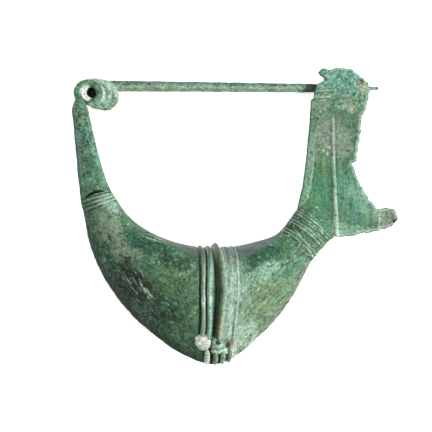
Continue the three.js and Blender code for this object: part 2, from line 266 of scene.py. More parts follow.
def catmull(knots, shares):
    """The centripetal Catmull-Rom curve through the knots, at shares of its length in knots."""
    knots = np.asarray(knots, float)
    last = len(knots) - 1
    whole = np.clip(np.floor(shares * last).astype(int), 0, last - 1)
    part = (shares * last - whole)[:, None]
    padded = np.vstack([2 * knots[0] - knots[1], knots, 2 * knots[-1] - knots[-2]])
    a, b, c, d = (padded[whole + n] for n in range(4))

    def stride(p, q):
        return np.maximum(np.sum((p - q) ** 2, axis=1, keepdims=True) ** 0.25, 1e-4)

    before, between, after = stride(a, b), stride(b, c), stride(c, d)
    leave = (b - a) / before - (c - a) / (before + between) + (c - b) / between
    reach = (c - b) / between - (d - b) / (between + after) + (d - c) / after
    leave, reach = leave * between, reach * between
    return (
        b
        + leave * part
        + (3 * (c - b) - 2 * leave - reach) * part**2
        + (2 * (b - c) + leave + reach) * part**3
    )


def path_lengths(points):
    """Distance from the first point to each, along the line through them."""
    return np.concatenate([[0], np.cumsum(np.linalg.norm(np.diff(points, axis=0), axis=1))])


def oval(x, y, middle, sizes):
    """Distance from the middle of an oval: 1 on its edge."""
    return np.hypot((x - middle[0]) / sizes[0], (y - middle[1]) / sizes[1])


def colour(red, green, blue):
    """A linear colour from one in sRGB, 0 to 255."""
    share = np.array([red, green, blue]) / 255
    return np.where(share < 0.04045, share / 12.92, ((share + 0.055) / 1.055) ** 2.4)


def blend(under, over, share):
    return under + (over - under) * np.clip(share, 0, 1)[:, None]


# ---- Placing ----

def turned(points):
    x = points[:, 0] * math.cos(REST_TURN) + points[:, 2] * math.sin(REST_TURN)
    z = points[:, 2] * math.cos(REST_TURN) - points[:, 0] * math.sin(REST_TURN)
    y = points[:, 1] * math.cos(REST_LEAN) + z * math.sin(REST_LEAN)
    z = z * math.cos(REST_LEAN) - points[:, 1] * math.sin(REST_LEAN)
    return np.stack([x, y, z], axis=1)


# ---- Form of the bow ----

def section_width(height, boat):
    rounded = np.sqrt(np.clip(1 - height**2, 0, 1))
    rise = np.clip((height - BELLY_AT) / (1 - BELLY_AT), 0, 1)
    fall = np.clip((BELLY_AT - height) / (1 + BELLY_AT), 0, 1)
    deck = (1 - rise**DECK_ROUNDNESS) ** (1 / DECK_ROUNDNESS)
    hull = np.where(height > BELLY_AT, deck, 1 - fall**KEEL_SHARPNESS)
    return rounded + (hull - rounded) * boat


def edges_at(shares):
    inner = catmull([station[0] for station in BOW_STATIONS], shares)
    outer = catmull([station[1] for station in BOW_STATIONS], shares)
    girth = catmull([(station[2], station[3]) for station in BOW_STATIONS], shares)
    return inner, outer, girth


def trace_bow():
    """Shares of the way through the stations, and the distance along the bow's middle at each."""
    shares = np.linspace(0, 1, 4001)
    inner, outer, _ = edges_at(shares)
    return shares, path_lengths((inner + outer) / 2)


TRACE_SHARES, TRACE = trace_bow()
CROWN_AT, LEFT_AT, RIGHT_AT = (
    np.interp(station / (len(BOW_STATIONS) - 1), TRACE_SHARES, TRACE)
    for station in (CROWN_STATION, LEFT_COLLAR_STATION, RIGHT_COLLAR_STATION)
)
RIBBED = ((CROWN_AT - 9, CROWN_AT + 9), (LEFT_AT - 3, LEFT_AT + 8), (RIGHT_AT - 2, RIGHT_AT + 11))


def ring_distances():
    """Where the bow's rings stand, closer together on the ribs and collars."""
    distances = [0.0]
    while distances[-1] < TRACE[-1]:
        here = distances[-1]
        ribbed = any(start < here < end for start, end in RIBBED)
        distances.append(here + (FINE_STEP if ribbed else PLAIN_STEP))
    distances[-1] = TRACE[-1]
    return np.array(distances)


def bow_skin(distances, angles):
    """Points of the plain bow, and the height on the section and distance along the bow of each."""
    inner, outer, girth = edges_at(np.interp(distances, TRACE, TRACE_SHARES))
    middle = (inner + outer) / 2
    half = (inner - outer) / 2
    height = np.cos(angles)[None, :].repeat(len(distances), axis=0)
    width = section_width(height, girth[:, 1:2]) * girth[:, 0:1]
    points = np.empty(height.shape + (3,))
    points[..., :2] = middle[:, None] + half[:, None] * height[..., None]
    points[..., 2] = np.sign(np.sin(angles)) * width
    along = distances[:, None].repeat(len(angles), axis=1)
    return points, height, along


def grid_normals(points):
    """Outward normals of a grid of rings, whose columns close on themselves."""
    round_ = np.roll(points, -1, axis=1) - np.roll(points, 1, axis=1)
    onward = np.gradient(points, axis=0)
    normals = np.cross(round_, onward)
    return normals / np.maximum(np.linalg.norm(normals, axis=2, keepdims=True), 1e-9)


def off_rib(rib, height, along):
    """Distance along the bow from the middle of a rib or groove of the crown."""
    return along - CROWN_AT - np.interp(height, RIB_HEIGHTS, rib["at"])


def ribs_at(height, along):
    """Height of the crown ribs and of the grooves beside them, in millimetres."""
    kept = smooth(*RIBS_FADE, height)
    on_deck = smooth(0.8, 0.98, height)
    crest = np.zeros(height.shape)
    groove = np.zeros(height.shape)
    for rib in CROWN_RIBS:
        off = off_rib(rib, height, along) / rib["half_width"]
        on_top = 1 + on_deck * (FIN_GAIN if rib is FIN else RIB_LOSS)
        crest = np.maximum(crest, rib["height"] * on_top * bump_profile(off))
    for dip in CROWN_GROOVES:
        off = off_rib(dip, height, along) / dip["half_width"]
        groove = np.minimum(groove, dip["height"] * bump_profile(off))
    return crest * kept, groove * kept


def rings_at(height, along):
    """Height of the collars' rings, in millimetres: they are worn away at the edges of the bow."""
    total = np.zeros(along.shape)
    for start, rings, skew in ((LEFT_AT, LEFT_RINGS, LEFT_SKEW), (RIGHT_AT, RIGHT_RINGS, 0)):
        for at, rise, half_width in rings:
            total += rise * bump_profile((along - start - at - skew * height) / half_width)
    return total * (1 - 0.65 * smooth(0.8, 0.97, np.abs(height)))


def gouge_at(points):
    """From 0 to 1, how deep the cut in the left collar is."""
    start, end = np.array(GOUGE_ENDS)
    length = np.linalg.norm(end - start)
    along_cut = (end - start) / length
    towards_arm = np.array([-along_cut[1], along_cut[0]])
    off = points[:, :2] - (start + end) / 2
    u = off @ along_cut / (length / 2)
    v = off @ towards_arm - GOUGE_BOW * (1 - u**2)
    width = GOUGE_HALF_WIDTH * np.sqrt(np.clip(1 - u**2, 0.02, 1))
    return bump_profile(v / width) * (np.abs(u) < 1) * (points[:, 2] > 0) * np.clip(1.6 - np.abs(u), 0, 1)


# ---- Colours ----

DARK = colour(26, 42, 31)
DEEP = colour(38, 78, 50)
GREEN = colour(72, 112, 80)
FOREST = colour(32, 84, 58)
LEAF = colour(56, 102, 64)
MOSS = colour(84, 112, 76)
LICHEN = colour(118, 136, 110)
EMERALD = colour(62, 118, 82)
TURQUOISE = colour(84, 142, 122)
MINT = colour(126, 166, 142)
PALE = colour(184, 206, 188)
CHALK = colour(212, 216, 206)
OLIVE = colour(102, 124, 84)
TAN = colour(138, 138, 114)
MAUVE = colour(126, 136, 124)
SLATE = colour(86, 98, 94)
BROWN = colour(70, 60, 46)
ROSE = colour(146, 134, 120)
SAND = colour(156, 146, 124)
BLACK = colour(12, 17, 13)
ARM_GREEN = colour(92, 136, 120)
WIRE_GREEN = colour(132, 160, 142)
RIB_TEAL = colour(120, 172, 148)
FIN_GREEN = colour(104, 124, 94)
STRAW = colour(160, 156, 128)
DUST = colour(152, 174, 160)
LEMON = colour(186, 206, 150)

# Stains: middle, half length, half width, direction in degrees, colour, share, and how much more pale
# and dark speckle there is on it.
BOW_STAINS = [
    ((-40.5, -20.0), 14.0, 4.0, 85, GREEN, 0.5, 0.1, 0.1),
    ((-36.5, -50.0), 13.0, 3.0, -68, DEEP, 0.6, 0.1, 0.15),
    ((-31.5, -49.5), 11.0, 4.6, -60, LICHEN, 0.95, 0.05, 0.0),
    ((-29.6, -56.5), 4.0, 2.6, -60, TAN, 0.25, 0.0, 0.15),
    ((-26.0, -63.3), 8.5, 4.4, -55, DARK, 1.0, -0.05, 0.45),
    ((-22.5, -50.8), 8.0, 3.2, -25, FOREST, 1.0, -0.3, 0.2),
    ((-13.5, -57.7), 8.5, 3.0, -15, DEEP, 0.85, 0.1, 0.3),
    ((-15.3, -64.2), 8.0, 5.0, -15, MOSS, 0.75, -0.15, -0.2),
    ((-17.5, -71.5), 10.0, 5.0, -42, DEEP, 0.9, 0.0, 0.3),
    # This long dark stain along the lower left is partly dark patina and partly painted shade towards the
    # keel.
    ((-26.0, -70.5), 16.0, 4.0, -48, DARK, 0.35, 0.1, 0.25),
    ((-10.5, -74.5), 4.5, 6.0, -60, MOSS, 0.4, 0.0, 0.0),
    ((20.0, -53.4), 5.5, 3.6, 40, LEAF, 0.85, -0.1, 0.0),
    ((13.0, -61.0), 10.5, 2.8, 42, MINT, 0.7, 0.35, 0.0),
    ((12.4, -55.4), 9.5, 2.9, 22, FOREST, 1.0, -0.3, 0.25),
    ((13.0, -69.0), 9.5, 4.8, 48, OLIVE, 1.0, -0.1, 0.0),
    ((8.5, -79.5), 5.5, 4.5, 40, PALE, 0.5, 0.25, 0.0),
    ((34.0, -43.0), 5.0, 3.2, -50, EMERALD, 0.95, -0.2, -0.2),
    ((-33.0, -39.2), 5.0, 2.0, -58, PALE, 0.5, 0.2, 0.0),
]
SCRATCHED = [((-24.4, -64.5), 6.5, 3.4, -58, DARK, 1, 1, 0)]
# Fine marks in several directions: degrees and seed.
BOW_STROKES = [(-35, 301), (50, 303), (5, 307)]


def stained(points, base, stains, seed):
    """Colour, and how much extra pale and dark speckle, from soft-edged stains."""
    tint = base
    pale = np.zeros(len(points))
    dark = np.zeros(len(points))
    waver = clouds(points, 5.0, 4, seed) * 0.45
    for (x, y), length, width, direction, shade, share, more_pale, more_dark in stains:
        turn = math.radians(direction)
        off = points[:, :2] - (x, y)
        u = off @ (math.cos(turn), math.sin(turn)) / length
        v = off @ (-math.sin(turn), math.cos(turn)) / width
        inside = smooth(1.25, 0.55, np.hypot(u, v) + waver)
        tint = blend(tint, shade, inside * share)
        pale += inside * more_pale
        dark += inside * more_dark
    return tint, pale, dark


def strokes(points, direction, length, width, seed):
    """Noise drawn out in one direction of the brooch's plane."""
    turn = math.radians(direction)
    u = points[:, :2] @ (math.cos(turn), math.sin(turn)) / length
    v = points[:, :2] @ (-math.sin(turn), math.cos(turn)) / width
    return clouds(np.stack([u, v, points[:, 2] / (2 * width)], axis=1), 1.0, 3, seed)


def speckled(points, tint, pale, dark, seed, grain=1.0):
    """Tint with the mottling of a corroded surface."""
    broad = clouds(points, 2.8 * grain, 4, seed)
    small = clouds(points, 0.9 * grain, 3, seed + 5)
    tiny = clouds(points, 0.45 * grain, 2, seed + 7)
    tint = tint * (1 + 0.16 * broad + 0.2 * small + 0.2 * tiny)[:, None]
    bloom = smooth(0.2, 1.0, 0.4 * broad + 0.45 * small + 0.45 * tiny + pale)
    tint = blend(tint, MINT, bloom * 0.65)
    fleck = smooth(0.7, 1.3, 0.85 * tiny + 0.45 * small + 0.15 * broad + 0.5 * pale)
    tint = blend(tint, PALE, fleck * 0.7)
    stain = smooth(0.22, 0.78, -0.35 * broad - 0.4 * small - 0.5 * tiny + dark)
    tint = blend(tint, DARK, stain * 0.9)
    speck = smooth(0.75, 1.3, 0.6 * dark - 0.9 * tiny - 0.4 * small)
    return blend(tint, BLACK, speck * 0.6)


# ---- Making pieces ----

def find_rest_shift():
    """What brings the turned brooch to the CAD part: its far corner in x and y, its pin's tip in z."""
    cad_points = np.array([vertex.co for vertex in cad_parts["brooch"].data.vertices]) / MM
    plate_corners = np.array([(x, y, SHEET / 2) for x, y in PLATE_TAIL + PLATE_TORN_TOP])
    _, cad_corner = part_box("brooch")
    shift = np.array(cad_corner) / MM - turned(plate_corners).max(axis=0)
    shift[2] = 0
    pin_end = turned(PIN_TIP[None])[0] + shift
    at_pin_end = np.linalg.norm(cad_points[:, :2] - pin_end[:2], axis=1) < PIN_TIP_RADIUS + 0.2
    shift[2] = cad_points[at_pin_end, 2].mean() - pin_end[2]
    return shift


REST_SHIFT = find_rest_shift()


def laid(points):
    """The same points on the brooch as it lies, in metres, worn flat where they would go below."""
    placed = turned(points) + REST_SHIFT
    placed[:, 2] = np.maximum(placed[:, 2], 0)
    return placed * MM


def make_piece(name, points, faces, tint, gloss, normals=None):
    """A mesh piece: points, arrays of faces, a colour for each point, and one gloss or one for each."""
    mesh = bpy.data.meshes.new(name)
    mesh.vertices.add(len(points))
    mesh.vertices.foreach_set("co", laid(points).ravel())
    loops = np.concatenate([group.ravel() for group in faces])
    sizes = np.concatenate([np.full(len(group), group.shape[1]) for group in faces])
    mesh.loops.add(len(loops))
    mesh.loops.foreach_set("vertex_index", loops.astype(np.int32))
    mesh.polygons.add(len(sizes))
    starts = np.concatenate([[0], np.cumsum(sizes)[:-1]])
    mesh.polygons.foreach_set("loop_start", starts.astype(np.int32))
    mesh.update(calc_edges=True)
    mesh.polygons.foreach_set("use_smooth", np.ones(len(sizes), bool))
    shades = mesh.color_attributes.new("patina", "FLOAT_COLOR", "POINT")
    coat = np.column_stack([np.clip(tint, 0, 1), np.full(len(points), gloss)])
    shades.data.foreach_set("color", coat.ravel())
    if normals is not None:
        mesh.normals_split_custom_set_from_vertices(turned(normals))
    piece = bpy.data.objects.new(name, mesh)
    bpy.context.collection.objects.link(piece)
    mesh.materials.append(patina)
    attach(piece, "root")
    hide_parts("brooch")
    return piece


def node(tree, kind, **settings):
    made = tree.nodes.new(kind)
    for name, value in settings.items():
        if name in made.inputs:
            made.inputs[name].default_value = value
        else:
            setattr(made, name, value)
    return made


def ranged(tree, source, *limits):
    """A source's values, taken from one range, its ends first, to another."""
    made = tree.nodes.new("ShaderNodeMapRange")
    for name, value in zip(("From Min", "From Max", "To Min", "To Max"), limits):
        made.inputs[name].default_value = value
    tree.links.new(source, made.inputs["Value"])
    return made.outputs["Result"]


def patina_material():
    """Green patina: the colour comes with each point, and the nodes add grain and pale dots."""
    material = bpy.data.materials.new("patina")
    material.use_nodes = True
    tree = material.node_tree
    link = tree.links.new
    shader = tree.nodes["Principled BSDF"]
    place = node(tree, "ShaderNodeTexCoord")
    shades = node(tree, "ShaderNodeAttribute", attribute_name="patina")
    grain = node(tree, "ShaderNodeTexNoise", Scale=1300.0, Detail=8.0, Roughness=0.75)
    dots = node(tree, "ShaderNodeTexVoronoi", Scale=1500.0, Randomness=1.0)
    patches = node(tree, "ShaderNodeTexNoise", Scale=420.0, Detail=3.0)
    for texture in (grain, dots, patches):
        link(place.outputs["Object"], texture.inputs["Vector"])

    toned = node(tree, "ShaderNodeVectorMath", operation="SCALE")
    link(shades.outputs["Color"], toned.inputs[0])
    link(ranged(tree, grain.outputs["Fac"], 0.36, 0.64, 0.5, 1.55), toned.inputs["Scale"])
    dotted = node(tree, "ShaderNodeMath", operation="MULTIPLY")
    link(ranged(tree, dots.outputs["Distance"], 0.08, 0.26, 0.22, 0.0), dotted.inputs[0])
    link(ranged(tree, patches.outputs["Fac"], 0.5, 0.68, 0.0, 1.0), dotted.inputs[1])
    mixed = node(tree, "ShaderNodeMix", data_type="RGBA")
    mixed.inputs["B"].default_value = (*PALE, 1)
    link(dotted.outputs[0], mixed.inputs["Factor"])
    link(toned.outputs[0], mixed.inputs["A"])
    link(mixed.outputs["Result"], shader.inputs["Base Color"])

    dull = node(tree, "ShaderNodeMath", operation="MULTIPLY_ADD")
    dull.inputs[1].default_value = 0.3
    link(patches.outputs["Fac"], dull.inputs[0])
    link(ranged(tree, shades.outputs["Alpha"], 0.0, 1.0, 0.62, 0.22), dull.inputs[2])
    link(dull.outputs[0], shader.inputs["Roughness"])
    bumps = node(tree, "ShaderNodeBump", Strength=0.35, Distance=0.00016)
    link(grain.outputs["Fac"], bumps.inputs["Height"])
    link(bumps.outputs["Normal"], shader.inputs["Normal"])
    shader.inputs["Metallic"].default_value = 0.0
    shader.inputs["Specular IOR Level"].default_value = 0.4
    return material


patina = patina_material()


def grid_faces(rings, columns):
    """Quads over a grid of rings whose columns close on themselves."""
    start = np.arange(rings - 1)[:, None] * columns
    here = start + np.arange(columns)
    beside = start + (np.arange(columns) + 1) % columns
    return np.stack([here, beside, beside + columns, here + columns], axis=-1).reshape(-1, 4)


def cap(start, columns, back=False):
    """A fan over one ring."""
    side = np.arange(1, columns - 1)
    first = np.full(len(side), start)
    fan = [first, start + side + 1, start + side]
    return np.stack(fan[:1] + fan[:0:-1] if back else fan, axis=1)


def closed_faces(rings, columns, start=0):
    """The quads of a grid of rings, and a fan over each end."""
    last = start + (rings - 1) * columns
    return [grid_faces(rings, columns) + start, cap(start, columns), cap(last, columns, back=True)]


# ---- Bow ----

def bow_fields():
    """The bow's plain surface, and what its relief and colours are worked out from.

    spot and out are each point's place and outward direction, h its height on the section and s its
    distance along the bow. What starts with in_ or on_ is 1 inside that region and fades out to 0.
    """
    angles = np.concatenate([
        np.linspace(0, math.pi, COLUMNS_SEEN, endpoint=False),
        np.linspace(math.pi, 2 * math.pi, COLUMNS_UNDER, endpoint=False),
    ])
    plain, height, along = bow_skin(ring_distances(), angles)
    spot, h, s = plain.reshape(-1, 3), height.ravel(), along.ravel()
    bow = SimpleNamespace(shape=plain.shape, spot=spot, h=h, s=s)
    bow.out = grid_normals(plain).reshape(-1, 3)
    bow.seen = spot[:, 2] > 0
    bow.from_crown = s - CROWN_AT
    bow.crest, bow.groove = ribs_at(h, s)
    bow.rings = rings_at(h, s)
    bow.gouge = gouge_at(spot)
    bow.in_crown = smooth(8.2, 6.6, np.abs(bow.from_crown)) * smooth(*RIBS_FADE, h)
    from_left = s - LEFT_AT - LEFT_SKEW * h
    bow.in_rings = np.maximum(
        smooth(0.4, 1.4, from_left) * smooth(6.8, 5.8, from_left),
        smooth(-1.4, -0.6, s - RIGHT_AT) * smooth(10.4, 9.6, s - RIGHT_AT),
    )
    bow.on_arm = smooth(LEFT_AT + 1.0, LEFT_AT - 1.5, s)
    bow.swell = clouds(spot, 6.0, 3, 11)
    bow.scabs = clouds(spot, 1.6, 4, 23)
    bow.grit = clouds(spot, 0.6, 3, 31)
    bow.holes = pits(spot, 1.7, 41, 0.12, 0.4) * (scatter(np.floor(spot / 3.1), 43) > 0.3)
    bow.in_scratched = stained(spot, GREEN, SCRATCHED, 7)[1]
    bow.scratches = smooth(0.2, 0.6, strokes(spot, -58, 3.0, 0.4, 59)) * bow.in_scratched * bow.seen
    above_edge = h - np.interp(bow.from_crown, *DECK_EDGE)
    bow.on_deck = smooth(-0.02, 0.05, above_edge + 0.03 * bow.swell) * (1 - bow.on_arm)
    return bow


def bow_relief(bow):
    """How far the corroded skin, ribs, rings and cut stand off the plain surface, in millimetres."""
    relief = 0.10 * bow.swell + 0.08 * bow.scabs + 0.05 * bow.grit
    relief += 0.16 * bow.scratches - 0.18 * bow.holes
    relief *= (1 - 0.6 * bow.on_deck) * (1 - 0.35 * bow.in_crown) * (1 - 0.3 * bow.in_rings)
    relief += bow.crest * (1 + 0.25 * clouds(bow.spot, 2.4, 3, 61)) + bow.groove
    relief += bow.rings * (1 + 0.3 * clouds(bow.spot, 1.8, 3, 67))
    return relief - GOUGE_DEPTH * bow.gouge


def bow_patina(bow):
    """Colour of the bow's belly and arm, and how dark their stains are."""
    spot, h, on_arm, scabs = bow.spot, bow.h, bow.on_arm, bow.scabs
    tint, pale, dark = stained(spot, GREEN, BOW_STAINS, 71)
    tint = blend(tint, ARM_GREEN, on_arm * smooth(-1.2, 0.6, bow.swell) * 0.7)
    right = smooth(4, 9, bow.from_crown)
    mottled = speckled(spot, tint, pale + right * 0.08, dark, 83)
    granular = speckled(spot, tint, pale + 0.18, dark + 0.22, 87, 0.55)
    tint = blend(mottled, granular, on_arm * 0.8)
    smudge = smooth(-0.15, 0.7, clouds(spot, 2.6, 4, 97)) * smooth(0.85, 0.3, np.abs(h))
    tint = blend(tint, DEEP, on_arm * smudge * 0.5)
    tint = blend(tint, MINT, on_arm * smooth(0.35, 0.8, np.abs(h)) * smooth(-0.6, 0.6, scabs) * 0.4)

    # Streaky crust right of the crown, and painted shade darkening the side left of it, towards the edge
    # nearest the crown.
    crust = strokes(spot, 40, 3.2, 0.5, 73)
    on_crust = smooth(4.5, 10, bow.from_crown + 1.5 * bow.swell) * (1 - bow.in_rings)
    on_crust *= smooth(0.45, 0.15, h) * smooth(-0.9, -0.6, h)
    tint = blend(tint, MINT, on_crust * smooth(0.15, 0.6, crust) * 0.4)
    tint = blend(tint, DEEP, on_crust * smooth(0.15, 0.6, -crust) * 0.45)
    painted_shade_left = smooth(0.1, -0.8, h) * smooth(0, -6, bow.from_crown) * (1 - on_arm)
    tint = tint * (1 - 0.28 * painted_shade_left)[:, None]

    # Fine marks, scratches, tan by the keel, and painted shade along the edge nearest the crown, on the
    # belly and the arm.
    hair = smooth(1.25, 0.8, oval(spot[:, 0], spot[:, 1], (11, -56), (10, 4)))
    hair *= strokes(spot, 30, 2.6, 0.4, 77)
    tint = blend(tint, DARK, smooth(0.2, 0.6, hair) * 0.5)
    bare = (1 - bow.in_crown) * (1 - bow.in_rings) * (1 - on_arm) * (1 - bow.in_scratched)
    for direction, seed in BOW_STROKES:
        flick = strokes(spot, direction, 1.5, 0.28, seed)
        tint = blend(tint, MINT, smooth(0.55, 1.0, flick) * bare * (0.55 - 0.3 * right))
        tint = blend(tint, DARK, smooth(0.55, 1.0, -flick) * bare * (0.5 - 0.2 * right))
    tint = blend(tint, PALE, bow.scratches * 0.75)
    keel_side = smooth(-0.5, -0.9, h) * smooth(7, 14, bow.from_crown) * (1 - bow.in_rings)
    tint = blend(tint, TAN, keel_side * smooth(0.9, -0.6, scabs + bow.grit) * 0.7)
    painted_edge_shade = smooth(-0.74, -0.97, h) * smooth(-2, -10, bow.from_crown)
    painted_edge_shade *= smooth(LEFT_AT + 5, LEFT_AT + 10, bow.s)
    painted_edge_shade = np.maximum(painted_edge_shade, smooth(-0.72, -0.95, h) * on_arm * 0.8)
    tint = blend(tint, DARK, painted_edge_shade * bow.seen * 0.8)
    return blend(tint, DARK, bow.holes * 0.75 * (1 - bow.in_crown)), dark


def deck_patina(bow, tint):
    """The grey deck, and a pale streak beside it on the side that is seen."""
    spot = bow.spot
    slate = blend(SLATE, DARK, smooth(-0.6, 1.2, clouds(spot, 2.0, 4, 89)) * 0.5)
    slate = blend(slate, DEEP, smooth(1.0, 0.75, bow.h) * smooth(6, -6, bow.from_crown) * 0.6)
    tint = blend(tint, slate, bow.on_deck * 0.88)
    x, y = spot[:, 0], spot[:, 1]
    streak = smooth(0.1, 0.6, strokes(spot, -16, 3.2, 0.35, 79))
    streak *= smooth(1.2, 0.6, oval(x, y + 0.2 * (x + 19), (-19, -49.5), (5.5, 1.2)))
    streak *= smooth(0.35, 0.6, bow.out[:, 2])
    return blend(tint, PALE, streak * 0.75)


def crown_patina(bow, tint):
    """Pale powdery ribs that stay dark on the deck, with painted highlights on them and painted shade in
    the grooves and behind the stump's lobes.
    """
    spot, h, in_crown, scabs = bow.spot, bow.h, bow.in_crown, bow.scabs
    below_deck = smooth(0.95, 0.3, h + 0.12 * scabs)
    powder = smooth(-0.5, 0.6, clouds(spot, 1.4, 3, 91))
    veil = strokes(spot, 88, 3.5, 0.35, 95)
    rib_a, rib_b, fin, band, last_rib = (off_rib(rib, h, bow.s) for rib in CROWN_RIBS)

    def powdered(tint, off, half_width, shade, share):
        on_rib = bump_profile(off / half_width) * in_crown * below_deck
        tint = blend(tint, shade, on_rib * share)
        return blend(tint, PALE, on_rib * (0.3 + 0.4 * powder) * smooth(-0.9, 0.1, veil))

    tint = powdered(tint, rib_a, 1.2, LICHEN, 0.95)
    # A painted highlight in chalk white on the middle of each of the two left ribs.
    painted_glint = smooth(1.2, 0.5, oval(rib_a, h, (0, -0.02), (0.9, 0.13)) + 0.3 * scabs)
    tint = blend(tint, CHALK, painted_glint * in_crown * smooth(-0.6, 0.5, veil) * 0.8)
    tint = powdered(tint, rib_b, 1.4, RIB_TEAL, 0.9)
    painted_glint = smooth(1.2, 0.4, oval(rib_b, h, (0.3, 0.02), (0.55, 0.09)) + 0.3 * scabs)
    tint = blend(tint, CHALK, painted_glint * in_crown * 0.7)

    # The middle rib is olive and sandy, with painted shade and brown and mauve tints on its left flank,
    # and a painted highlight as a pale line on its right.
    on_fin = smooth(-0.9, -0.5, fin) * smooth(1.2, 0.8, fin) * in_crown
    tint = blend(tint, FIN_GREEN, on_fin * 0.95)
    tint = blend(tint, MINT, on_fin * smooth(0.2, 0.8, clouds(spot, 1.2, 3, 105)) * 0.4)
    tint = blend(tint, DARK, on_fin * smooth(0.2, 0.9, clouds(spot, 0.9, 3, 98)) * 0.6)
    sandy = on_fin * smooth(-0.1, -0.3, h + 0.1 * scabs) * smooth(-0.5, 0.1, fin)
    tint = blend(tint, STRAW, sandy * 0.85)
    tint = blend(tint, MINT, on_fin * bump_profile((h + 0.08) / 0.08) * 0.7)
    shaded_left_flank = smooth(-2.6, -2.0, fin) * smooth(-0.35, -0.8, fin) * in_crown
    tint = blend(tint, DARK, shaded_left_flank * 0.75)
    tint = blend(tint, BROWN, shaded_left_flank * smooth(0.2, 0.8, powder) * 0.3)
    tint = blend(tint, MAUVE, shaded_left_flank * smooth(0.6, 0.9, h) * 0.7)
    # Painted highlight: the pale line right of the middle rib.
    tint = blend(tint, PALE, bump_profile((fin - 1.15) / 0.4) * in_crown * 0.7)

    # A dusty band right of it.
    drift = clouds(spot, 3.0, 3, 103)
    on_band = 0.45 * smooth(1.8, 0.2, last_rib + 0.5 * drift)
    on_band += 0.5 * smooth(6.0, 0.0, last_rib + 2.0 * drift)
    on_band *= smooth(1.1, 1.7, fin) * smooth(*RIBS_FADE, h) * smooth(-0.5, 0.5, bow.from_crown)
    tint = blend(tint, DUST, on_band * below_deck * 0.85)
    tint = blend(tint, PALE, on_band * below_deck * smooth(-0.3, 0.7, veil) * 0.5)
    tint = blend(tint, EMERALD, on_band * smooth(0.1, 0.7, -veil) * 0.5)

    outlines = np.zeros(len(h))
    for off, half_width in ((rib_a, 0.8), (rib_b, 0.9), (band, 1.0), (last_rib, 0.55)):
        outlines = np.maximum(outlines, bump_profile((np.abs(off) - half_width) / 0.3))
    tint = blend(tint, PALE, outlines * in_crown * smooth(0.2, 0.6, h) * (0.3 + 0.25 * powder))
    # Painted shade in the grooves beside the ribs.
    groove_shade = smooth(0.12, 0.4, -bow.groove) * (1 - smooth(0.05, 0.3, bow.crest))
    tint = blend(tint, BLACK, groove_shade * (0.55 + 0.35 * below_deck))
    tint = blend(tint, ROSE, bump_profile((h - 1.0) / 0.06) * bump_profile(fin / 1.2) * 0.5)
    # Painted shadow on the bow behind the stump's lobes.
    shadow_behind_lobes = smooth(5.2, 4.4, np.abs(spot[:, 0] - 0.4)) * smooth(-82.6, -83.6, spot[:, 1])
    return blend(tint, BLACK, shadow_behind_lobes * bow.seen * 0.9)


def collar_patina(bow, tint):
    """Pale crests between lines of painted shade, darkest at the edge nearest the pin, and painted shadow
    in the cut.
    """
    h, in_rings, scabs = bow.h, bow.in_rings, bow.scabs
    on_left = in_rings * (bow.from_crown < 0)
    crest_share = 0.4 + 0.3 * scabs + 0.3 * bow.grit + 0.15 * on_left * smooth(1.0, 0.7, np.abs(h))
    crest_share *= 1 - 0.7 * on_left * smooth(-0.1, -0.8, h)
    crest_share *= 0.55 + 0.6 * smooth(-0.4, 0.6, clouds(bow.spot, 2.2, 3, 113))
    tint = blend(tint, PALE, in_rings * smooth(0.1, 0.34, bow.rings) * crest_share)
    # Painted shade in the valleys between the rings.
    valley_shade_share = 0.3 + 0.45 * on_left + 0.4 * smooth(0.2, 0.8, h)
    tint = blend(tint, DARK, in_rings * smooth(0.09, 0.0, bow.rings + 0.05 * bow.grit) * valley_shade_share)
    scraped = smooth(0.35, 0.8, strokes(bow.spot, -48, 2.2, 0.35, 99)) * in_rings
    tint = blend(tint, PALE, scraped * (bow.from_crown > 0) * 0.6)
    tint = blend(tint, MINT, on_left * smooth(-0.2, 0.4, h) * smooth(-0.4, 0.5, scabs) * 0.7)
    # Painted shadow in the cut under the arm's end.
    return blend(tint, BLACK, smooth(0.1, 0.5, bow.gouge) * 0.95)


def make_bow():
    bow = bow_fields()
    tint, dark = bow_patina(bow)
    for coat in (deck_patina, crown_patina, collar_patina):
        tint = coat(bow, tint)
    gloss = 0.5 * bow.on_deck + 0.25 * smooth(0.1, 0.5, dark)
    skin = (bow.spot + bow.out * bow_relief(bow)[:, None]).reshape(bow.shape)
    normals = grid_normals(skin)
    rings, columns = bow.shape[:2]
    cuts = np.linspace(0, rings - 1, len(PIECES_OF_BOW) + 1).round().astype(int)
    for name, first, last in zip(PIECES_OF_BOW, cuts[:-1], cuts[1:]):
        rows = slice(first, last + 1)
        faces = [grid_faces(last + 1 - first, columns)]
        if first == 0:
            faces.append(cap(0, columns))
        if last == rings - 1:
            faces.append(cap((last - first) * columns, columns, back=True))
        part = slice(first * columns, (last + 1) * columns)
        make_piece(
            name, skin[rows].reshape(-1, 3), faces, tint[part], gloss[part],
            normals[rows].reshape(-1, 3),
        )


make_bow()


# ---- Spring and pin ----

def spring_at(turns):
    angle = math.pi - turns * 2 * math.pi
    round_ = np.stack([np.cos(angle), np.sin(angle), np.zeros(len(turns))], axis=1)
    radius = FIRST_RADIUS + (SPRING_RADIUS - FIRST_RADIUS) * smooth(WIDENS_FROM, WIDENS_TO, turns)
    return SPRING_CENTRE + radius[:, None] * round_ + turns[:, None] * SPRING_SHIFT


